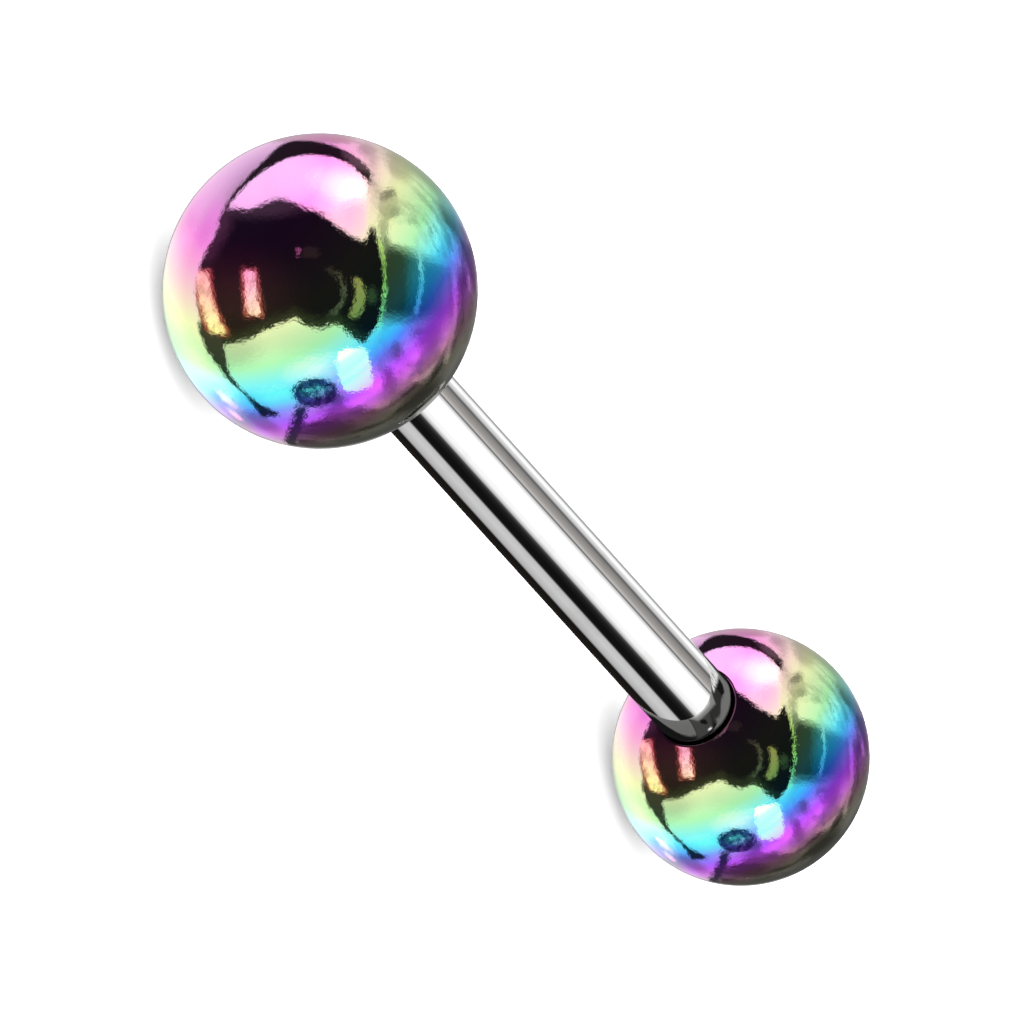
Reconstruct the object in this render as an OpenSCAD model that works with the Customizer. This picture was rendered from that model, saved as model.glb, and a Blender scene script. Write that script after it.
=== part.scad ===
// Straight barbell for a piercing: a steel bar with a coated ball screwed on each end.
// It lies on the surface z = 0 on its two balls, the large one towards -X. As the balls differ in
// size, the bar leans down a little towards +X.

/* [Bar] */
// Diameter of the bar (14 gauge is 1.6)
bar_d = 1.6; // [1.4:0.1:2]
// Length of bar between the faces of the two balls
wear_len = 16; // [8:1:30]
// How far the straight wall stops short of each ball's face, where the bar rounds off to a dome
stand_off = 0.12; // [0.05:0.01:0.2]

/* [Balls] */
// Diameter of the ball towards -X
large_d = 6; // [4:0.5:8]
// Diameter of the ball towards +X
small_d = 5; // [4:0.5:8]
// Gap between the bar's dome and the cup that it sits in
seat_gap = 0.05; // [0.04:0.01:0.08]
// Width of the bevel around the mouth of the cup
bevel = 0.04; // [0.02:0.01:0.06]

/* [Thread] */
// Outer diameter of the threaded studs
thread_d = 1.2; // [1:0.1:1.2]
// Distance from one thread to the next
pitch = 0.25; // [0.2:0.05:0.3]
// Number of threads on each stud
turns = 8; // [6:1:9]
// Gap between the stud and its hole
thread_gap = 0.05; // [0.03:0.01:0.08]

/* [Hidden] */
$fn = 96;

bar_r = bar_d / 2;
large_r = large_d / 2;
small_r = small_d / 2;
thread_r = thread_d / 2;

// A thread's depth, and the flat on its crest and root, as shares of its pitch
thread_depth = 0.6 * pitch;
thread_flat = 0.125 * pitch;
tip_chamfer = 0.15;
hole_spare = 0.25;

// Places along the bar's own axis, counted from the centre of the large ball
spacing = large_r + wear_len + small_r;
wall_start = large_r + stand_off;
wall_end = spacing - small_r - stand_off;
dome_depth = sqrt(bar_r ^ 2 - thread_r ^ 2);
stud_len = turns * pitch + tip_chamfer;
stud_reach = dome_depth + stud_len;

// How the barbell lies: both balls touch z = 0, and its box is centred on the origin
lean = asin((large_r - small_r) / spacing);
large_x = (large_r - small_r - spacing * cos(lean)) / 2;

// From the bar's own axis, which is Z, to the lying barbell
module lying() {
    translate([large_x, 0, large_r]) rotate([0, 90 + lean, 0]) children();
}

// One stud's outline beside the axis: ring-shaped threads, then a chamfered tip
module stud_outline() {
    root_r = thread_r - thread_depth;
    rise = pitch / 2 - thread_flat;
    threads = [
        for (i = [0 : turns - 1])
        each [
            [thread_r, i * pitch + thread_flat],
            [root_r, i * pitch + thread_flat + rise],
            [root_r, i * pitch + 2 * thread_flat + rise],
            [thread_r, (i + 1) * pitch]
        ]
    ];
    polygon(concat(
        [[0, -dome_depth / 2], [thread_r, -dome_depth / 2]],
        threads,
        [[thread_r - tip_chamfer, stud_len], [0, stud_len]]
    ));
}

// One end's outline beside the axis: a dome of the bar's radius, with the stud standing out of it
module end_outline() {
    intersection() {
        circle(r = bar_r);
        translate([0, -bar_r]) square([bar_r, bar_r + dome_depth]);
    }
    translate([0, dome_depth]) stud_outline();
}

// Bar, domes and studs, turned from one rod
module bar() {
    color("gainsboro")
    lying()
    rotate_extrude() {
        translate([0, wall_start]) square([bar_r, wall_end - wall_start]);
        translate([0, wall_end]) end_outline();
        translate([0, wall_start]) mirror([0, 1]) end_outline();
    }
}

// A ball centred on the origin, with its hole facing +Z
module drilled_ball(r) {
    cup_r = bar_r + seat_gap;
    cup_z = r + stand_off;
    // Where the cup's edge meets the ball, and the bevel just outside it
    mouth_z = (r ^ 2 + cup_z ^ 2 - cup_r ^ 2) / (2 * cup_z);
    mouth_r = sqrt(r ^ 2 - mouth_z ^ 2);
    floor_z = cup_z - stud_reach - hole_spare;

    difference() {
        sphere(r = r);
        translate([0, 0, cup_z]) sphere(r = cup_r);
        translate([0, 0, mouth_z - bar_r])
            cylinder(r1 = mouth_r + bevel - bar_r, r2 = mouth_r + bevel + bar_r, h = 2 * bar_r);
        translate([0, 0, floor_z]) cylinder(r = thread_r + thread_gap, h = r);
    }
}

module large_ball() {
    color("mediumorchid") lying() drilled_ball(large_r);
}

module small_ball() {
    color("mediumturquoise")
    lying()
    translate([0, 0, spacing])
    mirror([0, 0, 1])
    drilled_ball(small_r);
}

bar();
large_ball();
small_ball();
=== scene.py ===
import math

import bpy
import numpy as np
from mathutils import Matrix


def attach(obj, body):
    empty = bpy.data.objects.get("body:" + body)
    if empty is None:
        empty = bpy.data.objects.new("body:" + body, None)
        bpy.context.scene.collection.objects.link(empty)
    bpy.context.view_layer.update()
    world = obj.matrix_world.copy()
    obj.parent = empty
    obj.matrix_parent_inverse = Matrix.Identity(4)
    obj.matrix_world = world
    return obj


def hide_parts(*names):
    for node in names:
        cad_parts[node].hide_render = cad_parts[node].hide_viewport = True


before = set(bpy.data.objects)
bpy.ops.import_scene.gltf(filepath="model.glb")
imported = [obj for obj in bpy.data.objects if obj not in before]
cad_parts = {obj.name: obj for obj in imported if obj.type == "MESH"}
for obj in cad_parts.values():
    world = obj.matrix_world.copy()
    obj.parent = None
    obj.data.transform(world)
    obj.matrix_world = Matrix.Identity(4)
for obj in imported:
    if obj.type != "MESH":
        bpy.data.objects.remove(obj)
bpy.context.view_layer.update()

# The camera. It looks down at the barbell from beyond the large ball, through a very long lens, so the
# small ball looks hardly further away than the large one. The picture is turned so that the bar runs from
# its upper left to its lower right. The barbell lies on its two balls, so the bar leans down a little.
MM = 0.001
LARGE_RADIUS = 3.0
SMALL_RADIUS = 2.5
# From one ball's centre to the other's
SPACING = 21.5
LEAN = math.asin((LARGE_RADIUS - SMALL_RADIUS) / SPACING)
# Along the bar from the large ball to the small one, straight across it, and up from it
AXIS = np.array([math.cos(LEAN), 0.0, -math.sin(LEAN)])
ACROSS = np.array([0.0, 1.0, 0.0])
ABOVE = np.cross(AXIS, ACROSS)
LARGE_CENTRE = np.array([(LARGE_RADIUS - SMALL_RADIUS - SPACING * AXIS[0]) / 2, 0.0, LARGE_RADIUS])
SMALL_CENTRE = LARGE_CENTRE + SPACING * AXIS

VIEW_HEIGHT = math.radians(20)
# The share of the bar's direction that runs away from the camera, and the shares of its picture that run
# to the right and down
BAR_AWAY = 0.8281
BAR_RIGHT = 0.6704
BAR_DOWN = math.sqrt(1 - BAR_RIGHT**2)
LENS = 1600.0
SENSOR = 36.0
# The nearest and the furthest that the camera shows, in metres
CLIP_NEAR = 0.05
CLIP_FAR = 20.0
FRAME_PIXELS = 1024
# Where the balls' centres fall, counted from the picture's upper left corner
LARGE_PIXEL = (320.0, 291.0)
SMALL_PIXEL = (741.0, 757.0)


def camera_axes(height, away, right, down):
    """The camera's right, up and back directions.

    Back points from the barbell to the camera: it rises by the height angle, and its turn about the upright
    is the one that gives the bar the wanted lean away from the camera. Right and up are turned about back
    until the bar runs right and down by the wanted shares.
    """
    turn = (math.sin(LEAN) * math.sin(height) - away) / (math.cos(LEAN) * math.cos(height))
    back = np.array(
        [math.cos(height) * turn, -math.cos(height) * math.sqrt(1 - turn**2), math.sin(height)]
    )
    shown = (AXIS + away * back) / math.sqrt(1 - away**2)
    beside = np.cross(back, shown)
    return right * shown + down * beside, -down * shown + right * beside, back


RIGHT, UP, BACK = camera_axes(VIEW_HEIGHT, BAR_AWAY, BAR_RIGHT, BAR_DOWN)


def camera_place():
    """Where the camera stands, in millimetres, so that both balls' centres fall on their pixels.

    A point's pixel is its offset over its depth times the lens's focal length in pixels. The large ball's
    pixel fixes the line that the camera is on, and the small ball's its distance.
    """
    focal = LENS / SENSOR * FRAME_PIXELS
    middle = FRAME_PIXELS / 2
    near = np.array([LARGE_PIXEL[0] - middle, middle - LARGE_PIXEL[1]])
    far = np.array([SMALL_PIXEL[0] - middle, middle - SMALL_PIXEL[1]])
    step = np.array([AXIS @ RIGHT, AXIS @ UP]) * SPACING * focal
    deeper = -(AXIS @ BACK) * SPACING
    depths = (step - far * deeper) / (far - near)
    depth = depths.mean()
    return LARGE_CENTRE + depth * (BACK - near[0] / focal * RIGHT - near[1] / focal * UP)


camera_data = bpy.data.cameras.new("photo_camera")
camera_data.lens = LENS
camera_data.sensor_width = SENSOR
camera_data.clip_start = CLIP_NEAR
camera_data.clip_end = CLIP_FAR
camera = bpy.data.objects.new("photo_camera", camera_data)
camera_turn = np.stack([RIGHT, UP, BACK], 1).tolist()
camera_rows = [[*row, place] for row, place in zip(camera_turn, camera_place() * MM)]
camera.matrix_world = Matrix(camera_rows + [[0, 0, 0, 1]])
bpy.context.scene.collection.objects.link(camera)
bpy.context.scene.camera = camera
bpy.context.scene.view_settings.view_transform = "Standard"

# The bar. One rod of surgical steel 1.6 mm thick, turned on a lathe and polished to a mirror. Its wall ends
# in two domes, and out of each dome stands a stud with a fine thread that a ball screws on to.
BAR_RADIUS = 0.8
# From the large ball's centre to the middle of the bar, and from there to the end of its straight wall
BAR_MIDDLE = 11.0
WALL_HALF = 7.88
THREAD_RADIUS = 0.6
THREAD_DEPTH = 0.15
PITCH = 0.25
# The flat on a thread's crest and in its root, as a share of the pitch
THREAD_FLAT = 0.125
THREADED = 2.0
TIP_CHAMFER = 0.15
DOME_DEPTH = math.sqrt(BAR_RADIUS**2 - THREAD_RADIUS**2)
STUD_START = WALL_HALF + DOME_DEPTH
BAR_FACETS = 160
WALL_STATIONS = 12
DOME_STATIONS = 22
STUD_STATIONS = 150
SHARP_EDGE = math.radians(28)


def turned(name, along, radius, hand=1):
    """A piece turned about the bar's own axis, closed at both ends.

    along and radius are grids: one row for each station of the outline, one column for each angle. A point
    is the large ball's centre, plus along times the axis, plus radius times the direction at its angle. The
    outline's two ends each close on a point of the axis. hand is -1 where the outline runs against the axis.
    """
    stations, facets = radius.shape
    angle = hand * np.arange(facets) * 2 * np.pi / facets
    outward = np.cos(angle)[:, None] * ACROSS + np.sin(angle)[:, None] * ABOVE
    ring = LARGE_CENTRE + along[..., None] * AXIS + radius[..., None] * outward
    poles = LARGE_CENTRE + np.stack([along[0].mean(), along[-1].mean()])[:, None] * AXIS
    points = np.concatenate([ring.reshape(-1, 3), poles]) * MM
    row = np.arange(stations - 1)[:, None] * facets
    here = np.arange(facets)
    after = (here + 1) % facets
    walls = np.stack([row + here, row + after, row + facets + after, row + facets + here], -1).reshape(-1, 4)
    pole = stations * facets
    last = pole - facets
    caps = np.stack([np.full(facets, pole), after, here], -1).tolist()
    caps += np.stack([np.full(facets, pole + 1), last + here, last + after], -1).tolist()
    mesh = bpy.data.meshes.new(name)
    mesh.from_pydata(points.tolist(), [], walls.tolist() + caps)
    mesh.shade_smooth()
    mesh.set_sharp_from_angle(angle=SHARP_EDGE)
    piece = bpy.data.objects.new(name, mesh)
    bpy.context.scene.collection.objects.link(piece)
    return piece


def thread(along, facets):
    """How much of a thread's depth stands at each point: 1 on the crests, 0 in the roots, straight between.

    The helix climbs one pitch in each turn, so a point's place in the thread is its distance along the axis
    in pitches, less its angle in turns.
    """
    turn = np.arange(facets) / facets
    from_crest = np.abs((along / PITCH - turn) % 1.0 - 0.5)
    return np.clip((0.5 - THREAD_FLAT / 2 - from_crest) / (0.5 - THREAD_FLAT), 0, 1)


def bar_surface():
    """The bar's stations and radii: wall, dome and threaded stud, worked out by distance from its middle.

    The dome is a part of a sphere of the bar's radius. The stud's radius is the thread's, less what the
    thread cuts away, and its tip is a cone of 45 degrees.
    """
    wall = np.linspace(0, WALL_HALF, WALL_STATIONS)
    dome_turn = np.linspace(0, math.asin(DOME_DEPTH / BAR_RADIUS), DOME_STATIONS)
    dome = WALL_HALF + BAR_RADIUS * np.sin(dome_turn)
    stud = np.linspace(STUD_START, STUD_START + THREADED + TIP_CHAMFER, STUD_STATIONS)
    half = np.concatenate([wall, dome[1:], stud[1:]])
    reach = np.concatenate([-half[:0:-1], half])[:, None] * np.ones(BAR_FACETS)
    out = np.abs(reach)
    domed = np.sqrt(np.clip(BAR_RADIUS**2 - np.clip(out - WALL_HALF, 0, DOME_DEPTH) ** 2, 0, None))
    run_in = np.clip((out - STUD_START) / PITCH, 0, 1)
    cut = THREAD_DEPTH * run_in * (1 - thread(BAR_MIDDLE + reach, BAR_FACETS))
    chamfered = THREAD_RADIUS - np.clip(out - STUD_START - THREADED, 0, None)
    threaded = np.minimum(THREAD_RADIUS - cut, chamfered)
    return BAR_MIDDLE + reach, np.where(out > STUD_START, threaded, domed)


class Wire:
    """One output of a shader node. Arithmetic on it adds the Math nodes that work the formula out."""

    def __init__(self, tree, socket=None):
        self.tree = tree
        self.socket = socket

    def node(self, kind, settings, values, output=0):
        """Adds a node of a kind: first its settings, then its sockets' values or links."""
        node = self.tree.nodes.new("ShaderNode" + kind)
        for name, setting in settings.items():
            if name == "stops":
                fill_ramp(node.color_ramp, setting)
            elif name == "between":
                node.color_ramp.interpolation = setting
            else:
                setattr(node, name, setting)
        for name, value in values.items():
            if isinstance(value, Wire):
                self.tree.links.new(value.socket, node.inputs[name])
            else:
                node.inputs[name].default_value = value
        return Wire(self.tree, node.outputs[output])

    def maths(self, operation, *terms):
        return self.node("Math", {"operation": operation}, dict(enumerate(terms)))

    def __add__(self, other):
        return self.maths("ADD", self, other)

    def __sub__(self, other):
        return self.maths("SUBTRACT", self, other)

    def __rsub__(self, other):
        return self.maths("SUBTRACT", other, self)

    def __mul__(self, other):
        return self.maths("MULTIPLY", self, other)

    __radd__ = __add__
    __rmul__ = __mul__

    def __abs__(self):
        return self.maths("ABSOLUTE", self)

    def vector(self, operation, other=(0.0, 0.0, 0.0), output=0):
        return self.node("VectorMath", {"operation": operation}, {0: self, 1: other}, output)

    def dot(self, direction):
        return self.vector("DOT_PRODUCT", tuple(direction), 1)

    def length(self):
        return self.vector("LENGTH", output=1)

    def step(self, low, high):
        """0 up to low and 1 from high on, with a smooth rise between, or the reverse where low is higher."""
        values = {"Value": self, "From Min": low, "From Max": high}
        return self.node("MapRange", {"interpolation_type": "SMOOTHSTEP"}, values)

    def ramp(self, stops, between="LINEAR"):
        """A colour for each value, from given stops; a stop's colour may be one grey number."""
        low, high = stops[0][0], stops[-1][0]
        share = self.node("MapRange", {}, {"Value": self, "From Min": low, "From Max": high})
        spread = [((at - low) / (high - low), colour) for at, colour in stops]
        return self.node("ValToRGB", {"stops": spread, "between": between}, {0: share})

    def noise(self, scale, detail=2.0, roughness=0.5):
        values = {"Vector": self, "Scale": scale, "Detail": detail, "Roughness": roughness}
        return self.node("TexNoise", {}, values)

    def mix(self, other, share):
        """This colour with another laid over it: none of it where share is 0, all of it where share is 1."""
        colours = {0: share, 6: as_colour(self), 7: as_colour(other)}
        return self.node("Mix", {"data_type": "RGBA"}, colours, 2)

    def light_path(self, fact):
        """A fact about the ray that meets the surface, such as whether a mirror sent it there."""
        return self.node("LightPath", {}, {}, fact)


def as_colour(value):
    """A colour with its alpha, from a wire, a grey number or three numbers."""
    if isinstance(value, Wire):
        return value
    return (*value, 1.0) if isinstance(value, tuple) else (value, value, value, 1.0)


def fill_ramp(ramp, stops):
    """Sets a colour ramp's stops, given as (place, colour) from 0 to 1."""
    while len(ramp.elements) < len(stops):
        ramp.elements.new(1.0)
    for element, (place, colour) in zip(ramp.elements, stops):
        element.position = place
        element.color = as_colour(colour)


def metal(name):
    """A new metal material, its shader, and a wire that gives the place on the piece in millimetres."""
    material = bpy.data.materials.new(name)
    material.use_nodes = True
    shader = material.node_tree.nodes["Principled BSDF"]
    shader.inputs["Metallic"].default_value = 1.0
    metres = Wire(material.node_tree).node("TexCoord", {}, {}, "Object")
    return material, shader, metres.vector("MULTIPLY", (1 / MM, 1 / MM, 1 / MM))


def drive(node, name, wire):
    """Links a wire to one of a node's sockets."""
    wire.tree.links.new(wire.socket, node.inputs[name])


def bump(height, tall):
    """A Bump node's normal for a height from 0 to 1 that stands tall, in millimetres."""
    return height.node("Bump", {}, {"Strength": 1.0, "Distance": tall * MM, "Height": height})


STEEL = (0.79, 0.785, 0.775)
STEEL_WORN = (0.72, 0.712, 0.70)
WEAR_SCALE = 0.9
STUD_ROUGHNESS = 0.2
# Half the length over which the polish fades out where a stud begins
STUD_FADE = 0.05
LINES_SQUEEZE = (0.06, 1.0, 1.0)
LINES_SCALE = 9.0
LINES_HEIGHT = 0.00002

steel, steel_shader, point = metal("polished_steel")
wear = point.noise(WEAR_SCALE, 3.0).ramp([(0.3, STEEL_WORN), (0.45, STEEL), (0.7, STEEL)])
drive(steel_shader, "Base Color", wear)
# The wall is the only perfect mirror in the scene, which is how the studio tells its rays from the balls'
along = point.dot(AXIS) - float(AXIS @ LARGE_CENTRE) - BAR_MIDDLE
on_stud = abs(along).step(STUD_START - STUD_FADE, STUD_START + STUD_FADE)
drive(steel_shader, "Roughness", STUD_ROUGHNESS * on_stud)
# Polishing lines run along the bar. Squeezing the coordinate X, which the bar all but follows, stretches
# the pattern that way.
lines = point.vector("MULTIPLY", LINES_SQUEEZE).noise(LINES_SCALE, 4.0, 0.6)
drive(steel_shader, "Normal", bump(lines, LINES_HEIGHT))

bar_piece = turned("bar_steel", *bar_surface())
bar_piece.data.materials.append(steel)
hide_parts("bar")
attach(bar_piece, "bar")

# The two balls. Each is turned from steel, drilled and tapped, and given a cup that the bar's dome sits in.
# A vacuum coat some tens of nanometres thick makes the rainbow: its colour follows its thickness, which
# changes evenly from one side of a ball to the other. The cup is coated too, and the tapped hole is bare.
SEAT_GAP = 0.05
# How far the bar's straight wall stops short of the ball
STAND_OFF = 0.12
# The radius of the small round edge between the ball's outside and its cup
LIP = 0.05
HOLE_DEPTH = 2.779
HOLE_RADIUS = 0.65
HOLE_CREST = 0.62
HOLE_ROOT = 0.7
BALL_FACETS = 240
OUTER_STATIONS = 170
LIP_STATIONS = 14
CUP_STATIONS = 24
HOLE_STATIONS = 110


def ball_surface(radius, centre, hand):
    """A drilled ball's stations and radii, from its closed pole round to its hole and down to its floor.

    The outline is a circle about the ball's centre, a small rounded lip, a circle about the bar's dome, and a
    straight hole whose radius swings between crest and root along a helix. The lip's circle touches the
    ball's from inside and the cup's from outside, which gives its centre from its distances to theirs.
    """
    cup_radius, cup_height = BAR_RADIUS + SEAT_GAP, radius + STAND_OFF
    lip_height = ((radius - LIP) ** 2 - (cup_radius + LIP) ** 2 + cup_height**2) / (2 * cup_height)
    lip_out = math.sqrt((radius - LIP) ** 2 - lip_height**2)
    outer = np.linspace(0, math.pi - math.atan2(lip_out, lip_height), OUTER_STATIONS)[1:]
    lip_ends = math.atan2(lip_height, lip_out), math.atan2(cup_height - lip_height, -lip_out)
    lip = np.linspace(*lip_ends, LIP_STATIONS)[1:]
    steepest = math.atan2(lip_out, cup_height - lip_height)
    cup = np.linspace(steepest, math.asin(HOLE_RADIUS / cup_radius), CUP_STATIONS)[1:]
    hole_top = cup_height - math.sqrt(cup_radius**2 - HOLE_RADIUS**2)
    hole = np.linspace(hole_top, radius - HOLE_DEPTH, HOLE_STATIONS)[1:]
    height = np.concatenate([
        -radius * np.cos(outer), lip_height + LIP * np.sin(lip), cup_height - cup_radius * np.cos(cup), hole,
    ])
    plain = np.concatenate([
        radius * np.sin(outer), lip_out + LIP * np.cos(lip), cup_radius * np.sin(cup),
        np.full(len(hole), HOLE_RADIUS),
    ])
    height = height[:, None] * np.ones(BALL_FACETS)
    plain = plain[:, None] * np.ones(BALL_FACETS)
    inside = slice(-len(hole), None)
    run_in = np.clip((hole_top - hole) / PITCH, 0, 1)[:, None]
    swing = HOLE_ROOT - (HOLE_ROOT - HOLE_CREST) * thread(height[inside], BALL_FACETS)
    plain[inside] += run_in * (swing - HOLE_RADIUS)
    return centre + hand * height, plain


# The coat's colours by thickness, as the share of each of red, green and blue light that it reflects
COAT = [
    (-1.10, (0.96, 0.60, 0.96)),
    (-0.96, (0.97, 0.55, 0.95)),
    (-0.80, (0.97, 0.29, 0.78)),
    (-0.72, (0.97, 0.37, 0.70)),
    (-0.42, (0.91, 0.97, 0.49)),
    (-0.16, (0.45, 0.97, 0.48)),
    (0.00, (0.21, 0.95, 0.94)),
    (0.08, (0.08, 0.71, 0.97)),
    (0.16, (0.06, 0.47, 0.97)),
    (0.24, (0.11, 0.24, 0.97)),
    (0.41, (0.47, 0.08, 0.95)),
    (0.49, (0.61, 0.10, 0.86)),
    (0.65, (0.43, 0.17, 0.30)),
    (0.79, (0.25, 0.23, 0.15)),
    (1.06, (0.26, 0.28, 0.22)),
]
# How fast the thickness grows to the right, down and away, and with the products xy, yz, zx, xx - yy and zz
COAT_SLANT = (0.507, 0.82, 0.266)
COAT_BEND = (0.074, 0.059, -0.116, 0.044, -0.274)
COAT_MIDDLE = 0.091
CLOUD_SCALE = 1.1
CLOUD_SHARE = 0.05
PEEL_SCALE = 9.0
PEEL_HEIGHT = 0.0026
RUB_SCALE = 2.3
RUB_ROUGHNESS = 0.02
COAT_ROUGHNESS = 0.008
# The plain grey that a ball shows, instead of its colours, where another piece mirrors it
SEEN_IN_BAR = 0.8


def coat_thickness(point, centre, radius):
    """The coat's relative thickness on a ball, from -1.1 to 1.1.

    x, y and z are the place on the ball to the right, down and away as the camera shows it, in radii. The
    thickness is a slanting rise along the three, plus a slight bend from their products.
    """
    place = point.vector("SUBTRACT", tuple(centre)).vector("MULTIPLY", (1 / radius,) * 3)
    x, y, z = place.dot(RIGHT), place.dot(-UP), place.dot(-BACK)
    right, down, away = COAT_SLANT
    xy, yz, zx, xx_yy, zz = COAT_BEND
    thickness = right * x + down * y + away * z + xy * x * y + yz * y * z + zx * z * x
    return thickness + xx_yy * (x * x - y * y) + zz * z * z + COAT_MIDDLE


def coat_material(name, centre, radius):
    """Rainbow coat: colour by thickness, a trace of orange peel, and fine rubbed marks in its gloss."""
    material, shader, point = metal(name)
    cloud = point.noise(CLOUD_SCALE, 3.0) - 0.5
    colour = (coat_thickness(point, centre, radius) + CLOUD_SHARE * cloud).ramp(COAT)
    drive(shader, "Base Color", colour.mix(SEEN_IN_BAR, point.light_path("Is Glossy Ray")))
    rubbed = point.noise(RUB_SCALE, 5.0, 0.7)
    drive(shader, "Roughness", COAT_ROUGHNESS + RUB_ROUGHNESS * rubbed)
    drive(shader, "Normal", bump(point.noise(PEEL_SCALE, 3.0, 0.6), PEEL_HEIGHT))
    return material


SCRAPE_SCALE = 14.0
TAPPED_DARK = (0.36, 0.35, 0.34)
TAPPED_LIGHT = (0.55, 0.54, 0.53)
TAPPED_ROUGHNESS = 0.25
SCRAPE_ROUGHNESS = 0.2

tapped, tapped_shader, point = metal("tapped_steel")
scrapes = point.noise(SCRAPE_SCALE, 4.0)
drive(tapped_shader, "Base Color", scrapes.ramp([(0.3, TAPPED_DARK), (0.7, TAPPED_LIGHT)]))
drive(tapped_shader, "Roughness", TAPPED_ROUGHNESS + SCRAPE_ROUGHNESS * scrapes)

for body, radius, centre, spot, hand in (
    ("large_ball", LARGE_RADIUS, 0.0, LARGE_CENTRE, 1),
    ("small_ball", SMALL_RADIUS, SPACING, SMALL_CENTRE, -1),
):
    ball = turned(body + "_coated", *ball_surface(radius, centre, hand), hand)
    ball.data.materials.append(coat_material(body + "_rainbow", spot, radius))
    ball.data.materials.append(tapped)
    # After the rows of wall faces come two rows of triangles: the ball's pole, and the hole's floor
    row = np.arange(len(ball.data.polygons)) // BALL_FACETS
    pole_row = row[-1] - 1
    bare = (row >= pole_row - HOLE_STATIONS + 2) & (row != pole_row)
    ball.data.polygons.foreach_set("material_index", bare.astype(np.int32))
    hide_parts(body)
    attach(ball, body)

# The floor: a plain pale table that the barbell lies on. A mirror ball would show it in half of itself,
# where the studio belongs, so reflections meet the table only close to where they start. It glows a little
# itself, which keeps it white.
FLOOR_HALF = 3000.0
# A reflection begins to lose the table at the first length, and has lost it at the second
FLOOR_NEAR = 0.3
FLOOR_FAR = 1.0
FLOOR_PAINT = {
    "Base Color": (0.9, 0.9, 0.9, 1.0),
    "Roughness": 0.9,
    "Specular IOR Level": 0.0,
    "Emission Color": (1.0, 1.0, 1.0, 1.0),
    "Emission Strength": 0.3,
}

floor_corners = [(-1, -1), (1, -1), (1, 1), (-1, 1)]
floor_points = [(x * FLOOR_HALF * MM, y * FLOOR_HALF * MM, 0.0) for x, y in floor_corners]
floor_mesh = bpy.data.meshes.new("floor")
floor_mesh.from_pydata(floor_points, [], [(0, 1, 2, 3)])
floor = bpy.data.objects.new("floor", floor_mesh)
bpy.context.scene.collection.objects.link(floor)
floor_material = bpy.data.materials.new("pale_table")
floor_material.use_nodes = True
floor_tree = floor_material.node_tree
floor_shader = floor_tree.nodes["Principled BSDF"]
for name, value in FLOOR_PAINT.items():
    floor_shader.inputs[name].default_value = value
table = Wire(floor_tree, floor_shader.outputs[0])
mirrored = table.light_path("Is Glossy Ray")
gone = mirrored * table.light_path("Ray Length").step(FLOOR_NEAR * MM, FLOOR_FAR * MM)
see_through = table.node("BsdfTransparent", {}, {})
whole = table.node("MixShader", {}, {0: gone, 1: table, 2: see_through})
drive(floor_tree.nodes["Material Output"], "Surface", whole)
floor.data.materials.append(floor_material)

# The studio: soft white light from all round, and what the polished metal mirrors. That is drawn by
# direction, as it appears in a mirror ball seen from the camera: x to the right and y up, from -1 to 1.
# Shades are light itself: 1 is white, and lamps are brighter.
SOFT_LIGHT = 7.0
world = bpy.data.worlds.new("studio")
bpy.context.scene.world = world
world.use_nodes = True
world.node_tree.nodes.clear()
air = Wire(world.node_tree)
ray = air.node("TexCoord", {}, {}, "Generated")
facing = ray.vector("ADD", tuple(BACK)).vector("NORMALIZE")
x, y = facing.dot(RIGHT), facing.dot(UP)
mirror = air.node("CombineXYZ", {}, {0: x, 1: y})
out = mirror.length()


def edge(wire, points):
    """The height of a drawn edge over a coordinate, as a smooth line through its points."""
    grey = wire.ramp([(at, (height + 1) / 2) for at, height in points], "CARDINAL")
    return 2.0 * grey.node("RGBToBW", {}, {"Color": grey}) - 1.0


def placed(at, size, turn):
    """The mirror picture's coordinates about a place, turned, and in units of a half width and height."""
    values = {
        "Vector": mirror,
        "Location": (*at, 0.0),
        "Rotation": (0.0, 0.0, math.radians(turn)),
        "Scale": (*size, 1.0),
    }
    return air.node("Mapping", {"vector_type": "TEXTURE"}, values)


def from_spot(at, size=(1.0, 1.0), turn=0.0):
    """The distance from a place, in units of a half width and height."""
    return placed(at, size, turn).length()


def oval(at, size, turn=0.0, soft=0.1):
    """1 inside an oval and 0 outside, with a soft rim."""
    return from_spot(at, size, turn).step(1 + soft, max(1 - soft, 0.0))


def slab(at, size, turn=0.0, soft=0.1):
    """1 inside a rectangle with rounded corners and 0 outside, with a soft rim.

    The distance from its middle is the sum of the two coordinates' fourth powers.
    """
    local = placed(at, size, turn)
    across, along = local.dot((1.0, 0.0, 0.0)), local.dot((0.0, 1.0, 0.0))
    wide, tall = across * across, along * along
    return (wide * wide + tall * tall).step(1 + 2 * soft, max(1 - 2 * soft, 0.0))


def streak(offset, half, soft=0.01):
    """1 where an offset from a line is less than half its width, with soft sides."""
    return abs(offset).step(half + soft, max(half - soft, 0.0))


def between(wire, low, high, soft=0.03):
    """1 between two values and 0 outside them, with soft ends."""
    return wire.step(low - soft, low + soft) * wire.step(high + soft, high - soft)


def patched(picture, patches):
    """A picture with soft ovals laid over it, one after another.

    Each is given as its shade, its place, its half width and height, its turn in degrees, and its softness.
    """
    for shade, at, size, turn, soft in patches:
        picture = picture.mix(shade, oval(at, size, turn, soft))
    return picture


def flat_colour(shade):
    """A wire of one colour."""
    wire = air.node("RGB", {}, {})
    wire.socket.default_value = as_colour(shade)
    return wire


def shining(colour, strength=1.0):
    """A part of the studio of its own. Parts are joined as shaders, so that a ray only works out its own."""
    return air.node("Background", {}, {"Color": as_colour(colour), "Strength": strength})


def joined(below, above, share):
    """Two parts of the studio: the one above shows where share is 1."""
    return air.node("MixShader", {}, {0: share, 1: below, 2: above})


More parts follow.
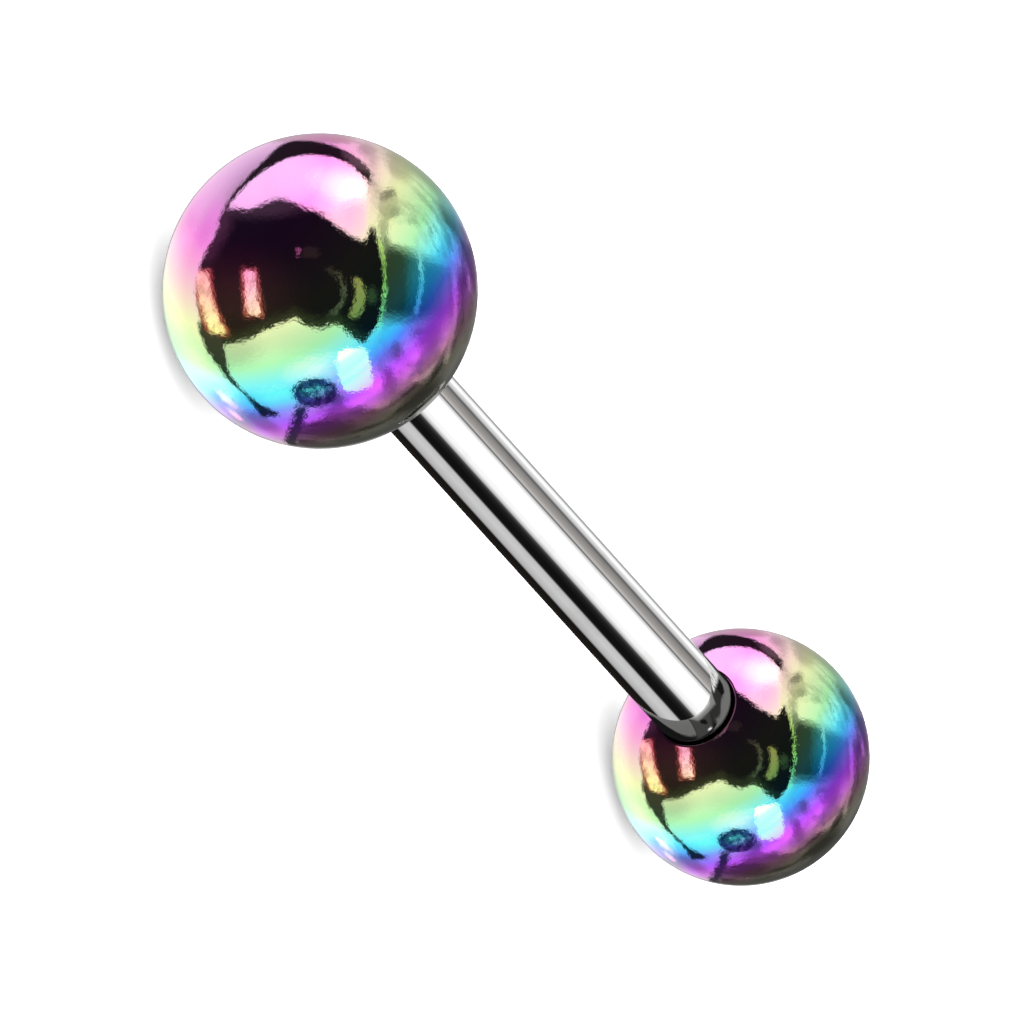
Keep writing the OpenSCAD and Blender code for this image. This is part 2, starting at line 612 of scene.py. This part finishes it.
# Noises that break up the drawing: broad and fine patches, ragged edges, and folds that run along the rim
swirl = mirror.noise(5.0, 5.0, 0.62)
fine = mirror.noise(13.0, 4.0, 0.6)
ragged = 0.05 * (mirror.noise(42.0, 2.0, 0.6) - 0.5)
around = air.maths("ARCTAN2", y, x)
folds = air.node("CombineXYZ", {}, {0: around * 2.2, 1: out * 28.0}).noise(1.0, 5.0, 0.68)

# The bright surround. To the right of the dark room is a gap: nearly black, then bluer and lighter, then a
# bright arc and the rim.
GAP = [
    (0.4, 0.045), (0.53, (0.05, 0.06, 0.06)), (0.61, (0.07, 0.19, 0.24)), (0.7, (0.16, 0.28, 0.36)),
    (0.76, (0.32, 0.36, 0.42)), (0.8, (0.48, 0.48, 0.54)), (0.84, 0.4), (0.87, 0.26), (1.0, 0.17),
]
RIM_FOLDS = [(0.38, 0.14), (0.5, 0.24), (0.56, 0.6), (0.62, 0.28)]
LEFT_RIM = 1.2
# Bright lines across the gap: the points of each as y and x, its half width and its shade
GAP_LINES = [
    ([(-0.25, 0.375), (-0.1, 0.4), (0.05, 0.412), (0.2, 0.4), (0.32, 0.38)], 0.002, (0.95, 1.15, 0.5)),
    ([(-0.15, 0.61), (0.05, 0.645), (0.15, 0.64), (0.35, 0.61)], 0.008, 0.8),
    ([(-0.45, 0.8), (-0.2, 0.85), (0.0, 0.855), (0.15, 0.835), (0.4, 0.75)], 0.014, 0.8),
]
gap_here = x.step(0.385, 0.395) * (y + 0.4 * x).step(0.56, 0.42) * y.step(-0.3, -0.11)
surround = flat_colour(1.0).mix((x + 0.3 * ragged).ramp(GAP), gap_here)
right_rim = out.step(0.86, 0.93) * x.step(0.6, 0.75) * y.step(0.45, 0.3)
surround = surround.mix(folds.ramp(RIM_FOLDS), right_rim)
surround = surround.mix(LEFT_RIM, out.step(0.84, 0.94) * x.step(-0.5, -0.7))


def with_lines(picture):
    """A half of the surround with the lines across its gap, and a thin dark rim except at the right."""
    for points, half, shade in GAP_LINES:
        within = between(y, points[0][0], points[-1][0])
        picture = picture.mix(shade, streak(x - edge(y, points) + ragged, half) * within)
    return picture.mix(0.5, out.step(0.986, 0.998) * x.step(0.5, 0.3))


# The upper half. At the left it darkens towards the hoop of the softbox, and at the right hangs folded cloth,
# which shows as bent streaks along the rim.
FALLING = [(0.56, 0.5), (0.6, 0.55), (0.64, 0.7), (0.68, 0.82), (0.74, 0.93), (0.85, 1.0)]
CLOTH = [(0.3, 0.36), (0.4, 0.6), (0.47, 0.62), (0.52, 0.98), (0.57, 0.7), (0.65, 0.9), (0.7, 0.5)]
CRUMPLED = [(0.35, 0.3), (0.45, 0.5), (0.6, 0.62)]
BRIGHT_FOLDS = [(0.4, 0.4), (0.5, 0.7), (0.56, 1.2), (0.62, 0.7)]
TOP_RIM = (0.56, 0.56, 0.5)
UPPER_RIGHT_RIM = 0.42
CARD = (1.05, 0.97, 1.0)
softbox_out = from_spot((-0.05, 0.3))
upper = surround.mix(softbox_out.ramp(FALLING), x.step(0.0, -0.15) * y.step(0.3, 0.45))
upper = patched(upper, [((0.85, 0.62, 0.85), (-0.69, 0.43), (0.05, 0.14), -25, 0.8)])
cloth = folds.ramp(CLOTH)
upper = upper.mix(cloth, (x + 0.6 * y).step(0.6, 0.75) * x.step(0.24, 0.36) * y.step(0.3, 0.45))
upper = upper.mix(cloth, y.step(0.9, 0.95) * x.step(-0.1, 0.1))
upper = upper.mix(TOP_RIM, y.step(0.92, 0.955) * between(x, -0.33, 0.2, 0.07))
# Light and dark places in the cloth
upper = patched(upper, [
    (0.88, (0.5, 0.65), (0.09, 0.08), 30, 0.8),
    (swirl.ramp(CRUMPLED), (0.435, 0.53), (0.065, 0.12), 15, 0.4),
    (0.5, (0.4, 0.41), (0.035, 0.05), 0, 0.7),
    (1.0, (0.4, 0.74), (0.045, 0.11), 10, 0.6),
    (0.5, (0.5, 0.79), (0.06, 0.1), 40, 0.6),
    (0.55, (0.29, 0.9), (0.06, 0.04), -20, 0.6),
    (0.28, (0.43, 0.61), (0.05, 0.03), 35, 0.5),
    (0.9, (0.5, 0.455), (0.06, 0.02), 12, 0.5),
])
# A pale card below the cloth, and dark and bright folds beside it
upper = upper.mix(CARD, slab((0.52, 0.36), (0.13, 0.07), -8, 0.35) * x.step(0.42, 0.46))
upper = patched(upper, [
    ((0.2, 0.17, 0.16), (0.82, 0.45), (0.05, 0.15), 25, 0.7),
    ((0.4, 0.3, 0.24), (0.9, 0.38), (0.015, 0.08), 25, 0.6),
])
upper = upper.mix(UPPER_RIGHT_RIM, out.step(0.92, 0.975) * between(x, 0.4, 0.84, 0.1))
upper = patched(upper, [
    (folds.ramp(BRIGHT_FOLDS), (0.76, 0.32), (0.14, 0.08), -50, 0.5),
    (0.25, (0.405, 0.3), (0.03, 0.06), 0, 0.8),
])

# The big round softbox overhead, brightest in one place, and the dark hoop round it, whose two edges are
# drawn as distances from the softbox's middle
SOFTBOX = 1.06
HOOP = 0.016
HOOP_GLEAM = 0.12
HOOP_IN = [
    (-0.62, 0.58), (-0.5, 0.56), (-0.43, 0.552), (-0.3, 0.552), (-0.2, 0.558), (0.0, 0.558), (0.12, 0.556),
    (0.22, 0.542), (0.3, 0.525), (0.36, 0.52),
]
HOOP_OUT = [
    (-0.62, 0.6), (-0.5, 0.588), (-0.43, 0.59), (-0.38, 0.603), (-0.33, 0.618), (-0.28, 0.646), (-0.2, 0.662),
    (-0.1, 0.655), (0.0, 0.644), (0.1, 0.632), (0.2, 0.62), (0.3, 0.596), (0.36, 0.57),
]
hoop_in = edge(x, HOOP_IN) + 0.25 * ragged
in_box = y.step(0.25, 0.35) * x.step(0.315, 0.28) * x.step(-0.62, -0.56)
in_box = in_box * (hoop_in - softbox_out).step(-0.004, 0.004)
upper = upper.mix(SOFTBOX, in_box)
for shade, at, size, turn, soft in (
    (1.6, (0.12, 0.65), (0.26, 0.17), -15, 0.9),
    (2.6, (0.11, 0.67), (0.13, 0.08), -15, 0.8),
    ((1.15, 0.9, 1.3), (0.25, 0.44), (0.12, 0.13), 0, 0.6),
):
    upper = upper.mix(shade, in_box * oval(at, size, turn, soft))
hoop_out = edge(x, HOOP_OUT)
hoop = (softbox_out - hoop_in).step(-0.004, 0.004) * (hoop_out - softbox_out).step(-0.004, 0.01)
hoop = hoop * x.step(0.335, 0.31) * x.step(-0.64, -0.6) * y.step(0.45, 0.5)
upper = upper.mix(HOOP, hoop)
upper = upper.mix(HOOP_GLEAM, hoop * oval((0.24, 0.82), (0.11, 0.04), -35, 0.5))

# The lower half: patches beside the table, and the dim lower right below the edge where the table ends
PATCHY = [(0.34, (0.28, 0.26, 0.36)), (0.45, (0.55, 0.55, 0.66)), (0.52, 0.85), (0.6, 1.25), (0.68, 0.9)]
TABLE_END = [
    (-0.2, -0.85), (0.0, -0.8), (0.1, -0.745), (0.2, -0.72), (0.35, -0.735), (0.43, -0.71), (0.52, -0.64),
    (0.6, -0.575), (0.7, -0.51), (0.8, -0.34), (0.87, -0.17), (0.95, 0.1),
]
DIM_FOLDS = [(0.3, 0.07), (0.42, 0.12), (0.5, 0.3), (0.58, 0.2), (0.64, 0.46), (0.72, 0.3)]
LOWER_RIM = 0.13
GLASS = [(0.4, (1.5, 0.8, 0.9)), (0.5, (2.7, 1.1, 1.1)), (0.58, (7.0, 2.0, 1.2))]
lower = surround.mix(swirl.ramp(PATCHY), y.step(-0.18, -0.28) * x.step(0.33, 0.43))
lower = patched(lower, [
    ((0.42, 0.4, 0.5), (0.71, -0.3), (0.06, 0.16), -15, 0.8),
    (1.05, (0.71, -0.5), (0.08, 0.02), 42, 0.7),
    ((0.75, 1.0, 1.0), (0.47, -0.28), (0.09, 0.05), 10, 0.6),
])
past_table = (edge(x, TABLE_END) - y + ragged).step(-0.01, 0.03) * x.step(-0.19, -0.13)
lower = lower.mix(folds.ramp(DIM_FOLDS), past_table)
lower = patched(lower, [
    (0.09, (0.63, -0.68), (0.17, 0.045), 40, 0.6),
    (0.12, (0.08, -0.88), (0.16, 0.05), 6, 0.6),
    (0.45, (0.12, -0.75), (0.14, 0.02), 4, 0.8),
    (0.3, (0.4, -0.79), (0.07, 0.025), 30, 0.7),
])
lower = lower.mix(LOWER_RIM, out.step(0.94, 0.98) * between(x, -0.1, 0.9))
lower = patched(lower, [(0.34, (0.86, -0.4), (0.03, 0.16), -25, 0.7)])
# At the lower left a window glares through glass
lower = patched(lower, [
    ((2.1, 1.4, 1.4), (-0.68, -0.6), (0.25, 0.085), -46, 0.7),
    (swirl.ramp(GLASS), (-0.59, -0.7), (0.13, 0.045), -43, 0.6),
    ((7.0, 1.6, 1.3), (-0.585, -0.69), (0.085, 0.017), -43, 0.5),
    ((0.85, 1.15, 0.6), (-0.5, -0.82), (0.1, 0.05), -35, 0.7),
    ((4.0, 2.2, 1.2), (-0.545, -0.775), (0.05, 0.013), -40, 0.6),
    ((0.6, 0.55, 0.5), (-0.37, -0.83), (0.13, 0.04), -28, 0.6),
])

# The lit table, overexposed round the window that it mirrors
BLEACH = [(0.0, (5.0, 1.2, 1.0)), (0.3, (3.6, 1.12, 1.0)), (0.6, (2.1, 1.05, 1.0)), (1.2, 1.0)]
GLARE = [
    (0.46, (7.0, 1.45, 1.05)), (0.52, (7.7, 1.85, 1.0)), (0.62, (7.8, 2.7, 1.0)), (0.68, (3.4, 4.2, 1.0)),
    (0.74, (2.1, 5.3, 1.0)), (0.82, (1.5, 6.5, 1.0)),
]
lower = patched(lower, [
    (0.86, (-0.05, -0.3), (0.33, 0.09), 4, 0.7),
    (0.7, (-0.53, -0.39), (0.15, 0.08), 15, 0.8),
])
from_window = from_spot((0.07, -0.53), (0.3, 0.13), 3)
lower = lower.mix(from_window.ramp(BLEACH), from_window.step(1.2, 0.9))
lower = patched(lower, [
    ((2.1, 1.6, 1.0), (-0.2, -0.7), (0.17, 0.07), -3, 0.8),
    (0.45, (0.43, -0.56), (0.05, 0.09), 20, 0.6),
    (0.4, (0.49, -0.38), (0.035, 0.05), 0, 0.6),
    ((1.7, 1.5, 1.4), (0.345, -0.585), (0.045, 0.07), -35, 0.6),
    (1.2, (0.6, -0.41), (0.03, 0.05), -20, 0.6),
    (0.35, (0.1, -0.69), (0.06, 0.045), 0, 0.6),
    (1.35, (0.25, -0.68), (0.08, 0.03), 30, 0.6),
])
lower = lower.mix((0.6 * x - y).ramp(GLARE), slab((0.222, -0.5), (0.105, 0.135), 8, 0.06))

# The stand on the table: its foot, and a dark ring with sparks in its middle
FOOT = [(-1.0, -0.2), (-0.88, -0.165), (-0.72, -0.11)]
FOOT_SHADE = (0.07, 0.1, 0.09)
RING = [(0.4, 0.03), (0.5, (0.08, 0.06, 0.12)), (0.62, (0.45, 0.2, 0.3))]
SPARKS = [(0.42, 0.1), (0.5, (0.3, 0.35, 0.25)), (0.57, (1.6, 1.3, 0.7))]
foot = streak(x - edge(y, FOOT) + 1.5 * ragged, 0.04, 0.014)
lower = lower.mix(FOOT_SHADE, foot * y.step(-0.7, -0.75))
grain = mirror.noise(30.0, 3.0, 0.6)
on_ring = (from_spot((-0.03, -0.645), (0.145, 0.093)) + 4.0 * ragged).step(1.06, 0.94)
lower = lower.mix(grain.ramp(RING), on_ring)
lower = patched(lower, [(grain.ramp(SPARKS), (-0.02, -0.64), (0.085, 0.036), 4, 0.4)])

is_upper = air.maths("GREATER_THAN", y, 0.0)
picture = joined(shining(with_lines(lower)), shining(with_lines(upper)), is_upper)

# The dark room behind the camera, with two warm strip lights in it and the lens in its middle. Its four
# edges are drawn one by one, the upper and lower ones over x and the others over y.
ROOM_TOP = [
    (-0.8, 0.4), (-0.68, 0.43), (-0.61, 0.515), (-0.54, 0.53), (-0.45, 0.525), (-0.35, 0.56), (-0.28, 0.585),
    (-0.2, 0.58), (-0.1, 0.535), (0.0, 0.5), (0.1, 0.425), (0.2, 0.355), (0.25, 0.335), (0.275, 0.322),
    (0.292, 0.34), (0.31, 0.385), (0.34, 0.43), (0.45, 0.44),
]
ROOM_BOTTOM = [
    (-0.8, -0.42), (-0.7, -0.4), (-0.625, -0.35), (-0.5, -0.325), (-0.4, -0.28), (-0.3, -0.232),
    (-0.2, -0.198), (-0.16, -0.18), (-0.1, -0.213), (0.0, -0.24), (0.05, -0.23), (0.1, -0.21), (0.16, -0.25),
    (0.22, -0.3), (0.27, -0.335), (0.45, -0.4),
]
ROOM_LEFT = [
    (-0.45, -0.69), (-0.32, -0.738), (-0.22, -0.748), (-0.1, -0.772), (0.0, -0.785), (0.1, -0.772),
    (0.2, -0.74), (0.3, -0.692), (0.4, -0.64), (0.47, -0.63), (0.55, -0.57), (0.65, -0.5),
]
ROOM_RIGHT = [
    (-0.4, 0.25), (-0.335, 0.27), (-0.31, 0.30), (-0.26, 0.34), (-0.2, 0.375), (-0.1, 0.395), (0.0, 0.402),
    (0.1, 0.405), (0.2, 0.395), (0.3, 0.375), (0.36, 0.355), (0.42, 0.33),
]
DARK = (0.0085, 0.008, 0.0125)
WARM = (0.036, 0.022, 0.022)
DARK_BOTTOM = (0.04, 0.045, 0.035)
DARK_LEFT = (0.06, 0.045, 0.055)
LENS_RING = [(0.35, 0.03), (0.6, 0.2)]
CRESCENT = (0.36, 0.3, 0.16)
BOX_FRONT = 0.022
BOX_SIDE = (0.34, 0.16, 0.3)
# The strip lights: the line of each as y and x, and then its half width and its shade
LEFT_STRIP = [(-0.27, -0.644), (-0.2, -0.674), (-0.1, -0.708), (0.0, -0.73), (0.12, -0.739)]
RIGHT_STRIP = [(-0.15, -0.415), (-0.05, -0.428), (0.05, -0.438), (0.125, -0.445)]
STRIPS = [(LEFT_STRIP, 0.046, (1.35, 1.15, 0.8)), (RIGHT_STRIP, 0.042, (1.4, 1.1, 1.1))]
STRIP_TAPER = 0.6
STRIP_HALO = (0.5, 0.14, 0.12)
top, bottom = edge(x, ROOM_TOP), edge(x, ROOM_BOTTOM)
left, right = edge(y, ROOM_LEFT), edge(y, ROOM_RIGHT)
room = (top - y).step(-0.01, 0.025) * (y - bottom + ragged).step(-0.01, 0.01)
room = room * (x - left).step(-0.01, 0.008) * (right - x + ragged).step(-0.008, 0.008)
dark = flat_colour(DARK).mix(WARM, oval((-0.55, -0.05), (0.28, 0.22), 0, 0.9) * (0.4 + swirl))
dark = patched(dark, [(0.05, (-0.32, 0.53), (0.25, 0.06), 5, 0.7)])
dark = dark.mix(DARK_BOTTOM, (bottom + 0.05 - y).step(-0.06, 0.05))
dark = dark.mix(DARK_LEFT, (left + 0.07 - x).step(-0.05, 0.05) * y.step(0.1, 0.25))
# The lens: a ring, a crescent of light beside it, and a small box with a lit side above it
ring = streak(from_spot((0.0, -0.01)) - 0.155 + ragged, 0.008) * x.step(0.02, 0.12)
dark = dark.mix(fine.ramp(LENS_RING), ring)
crescent = oval((0.225, -0.045), (0.06, 0.125), -4, 0.1)
crescent = crescent * (1.0 - oval((0.165, -0.015), (0.06, 0.14), 0, 0.15))
dark = dark.mix(CRESCENT, crescent)
dark = patched(dark, [((0.05, 0.06, 0.05), (0.33, -0.03), (0.03, 0.05), 0, 0.5)])
dark = dark.mix(BOX_FRONT, slab((-0.06, 0.245), (0.05, 0.035), 0, 0.1))
dark = dark.mix(BOX_SIDE, slab((-0.135, 0.245), (0.008, 0.03), 0, 0.3))
brushed = placed((0.0, 0.0), (0.02, 0.09), -12).noise(1.0, 2.0)
for points, half, shade in STRIPS:
    offset = (x - edge(y, points) + 0.5 * ragged) * (1.0 + STRIP_TAPER * y)
    low_end, high_end = points[0][0], points[-1][0]
    halo = streak(offset, half + 0.012, 0.016) * between(y, low_end - 0.012, high_end + 0.012, 0.02)
    strip = streak(offset, half - 0.006, 0.012) * between(y, low_end, high_end, 0.016)
    dim_shade = tuple(0.5 * c for c in shade)
    dark = dark.mix(STRIP_HALO, halo)
    dark = dark.mix(brushed.ramp([(0.38, dim_shade), (0.56, shade)]), strip)
picture = joined(picture, shining(dark), room)

# The table's near edge, a dark line that widens at both ends: its height over x, and its half width
NEAR_EDGE_SHADE = (0.055, 0.05, 0.05)
NEAR_EDGE = [
    (-0.78, -0.2), (-0.72, -0.3), (-0.68, -0.345), (-0.64, -0.38), (-0.61, -0.43), (-0.59, -0.497),
    (-0.57, -0.553), (-0.514, -0.612), (-0.456, -0.666), (-0.42, -0.708), (-0.38, -0.752), (-0.33, -0.768),
    (-0.25, -0.78),
]
NEAR_EDGE_HALF = [
    (-0.78, 0.03), (-0.72, 0.05), (-0.68, 0.075), (-0.64, 0.1), (-0.61, 0.095), (-0.59, 0.056),
    (-0.57, 0.027), (-0.514, 0.014), (-0.456, 0.015), (-0.42, 0.022), (-0.38, 0.036), (-0.33, 0.028),
    (-0.25, 0.006),
]
off_edge = abs(edge(x, NEAR_EDGE) - y + 0.4 * ragged)
near_edge = (edge(x, NEAR_EDGE_HALF) - off_edge).step(-0.008, 0.008) * between(x, -0.768, -0.26, 0.012)
picture = joined(picture, shining(NEAR_EDGE_SHADE), near_edge)

# For the bar's wall the studio is drawn by the turn about the bar's line, in degrees: 0 towards the camera,
# and rising towards the picture's upper right. The shades are given as they look in the bar.
STREAKS = [
    (-180, (0.015, 0.013, 0.011)), (-117, (0.008, 0.007, 0.006)), (-112.5, 0.012), (-107.5, 0.34),
    (-102, 0.445), (-80, 0.58), (-64.5, 0.535), (-62.5, 0.46), (-58.5, 0.03), (-56, 0.006), (-42, 0.005),
    (-29, 0.014), (-23.5, 0.05), (-21.5, 0.09), (-18.4, 0.48), (-14, 0.68), (-9, 0.92), (-1, 0.94), (6, 1.1),
    (44, 1.1), (48, 0.86), (53, 0.66), (57, 0.14), (59, 0.17), (62, (0.54, 0.515, 0.495)),
    (70, (0.355, 0.335, 0.32)), (90, (0.205, 0.2, 0.193)), (95.5, 0.09), (99.5, 0.24), (103, 0.5),
    (116, 0.74), (121, 0.97),
]
EDGE_STREAKS = [(125, 0.98), (134, 0.86), (140, 0.62), (147, 0.26), (153, 0.3), (160, 0.72), (180, 0.6)]


def in_bar(stops):
    """Stops whose shades are the light itself, from stops given as they look in the bar."""
    return [(at, tuple(c / tint for c, tint in zip(as_colour(shade), STEEL))) for at, shade in stops]


toward = (BACK + BAR_AWAY * AXIS) / math.sqrt(1 - BAR_AWAY**2)
upper_right = np.cross(BACK, AXIS) / math.sqrt(1 - BAR_AWAY**2)
turn = air.maths("ARCTAN2", ray.dot(upper_right), ray.dot(toward)) * math.degrees(1)
last_streaks = turn.step(STREAKS[-1][0], EDGE_STREAKS[0][0])
streaks = turn.ramp(in_bar(STREAKS)).mix(turn.ramp(in_bar(EDGE_STREAKS)), last_streaks)
picture = joined(picture, shining(streaks), air.light_path("Is Singular Ray"))

# What the bar's end mirrors of the ball that it is screwed into, which itself mirrors the studio: plain
# greys, each a shade and where it lies, for rays that metal has mirrored at least twice
BAND = [(-0.4, 0.33), (-0.25, 0.4), (-0.1, 0.455), (0.08, 0.57), (0.32, 0.54), (0.6, 0.4)]
GLINT = [(0.38, 0.02), (0.46, 1.1)]
MORE_THAN_ONCE = 1.5
table_side = x + 1.07 * y
second = flat_colour(0.012)
for shade, share in (
    (0.22, y.step(-0.45, -0.5) * table_side.step(-0.59, -0.62)),
    (0.08, table_side.step(-0.6, -0.57) * y.step(-0.28, -0.34)),
    (0.012, slab((0.29, -0.47), (0.045, 0.07), -30, 0.2)),
    (0.045, x.step(0.3, 0.38) * between(y, -0.3, 0.28, 0.03)),
    (0.25, (edge(y, BAND) - x).step(-0.01, 0.02) * y.step(-0.25, -0.18) * x.step(0.05, 0.2)),
    (0.35, out.step(0.6, 0.66) * x.step(0.2, 0.3) * y.step(-0.02, -0.08)),
    (0.7, out.step(0.68, 0.76) * x.step(0.3, 0.4) * y.step(-0.2, -0.3)),
    (0.25, out.step(0.86, 0.93) * x.step(0.2, 0.1)),
    (fine.ramp(GLINT), out.step(0.74, 0.79) * x.step(0.2, 0.3) * y.step(0.0, 0.12)),
    (1.5, oval((0.2, -0.35), (0.05, 0.018), 35, 0.5)),
):
    second = second.mix(shade, share)
again = air.maths("GREATER_THAN", air.light_path("Glossy Depth"), MORE_THAN_ONCE)
picture = joined(picture, shining(second), again)

# Only mirrored rays meet what is drawn. The table is lit by plain white light, more of it than makes it
# white, so that only the close shadows show. It comes mostly from the camera's side, so they fall behind the
# balls. The world isn't sampled as a lamp, and the light that the metal throws on the table is left out.
FRONT_LIGHT = [(-1.0, 0.06), (0.0, 0.25), (0.6, 0.42), (0.9, 0.9), (1.0, 1.0)]
BACKDROP = 1.1
camera_side = (BACK - BACK[2] * np.array([0.0, 0.0, 1.0])) / math.sqrt(1 - BACK[2] ** 2)
front = ray.dot(camera_side).ramp(FRONT_LIGHT)
plain_light = shining(front.mix(BACKDROP / SOFT_LIGHT, air.light_path("Is Camera Ray")), SOFT_LIGHT)
studio = joined(plain_light, picture, air.light_path("Is Glossy Ray"))
drive(world.node_tree.nodes.new("ShaderNodeOutputWorld"), "Surface", studio)
world.cycles.sampling_method = "NONE"
bpy.context.scene.cycles.caustics_reflective = False
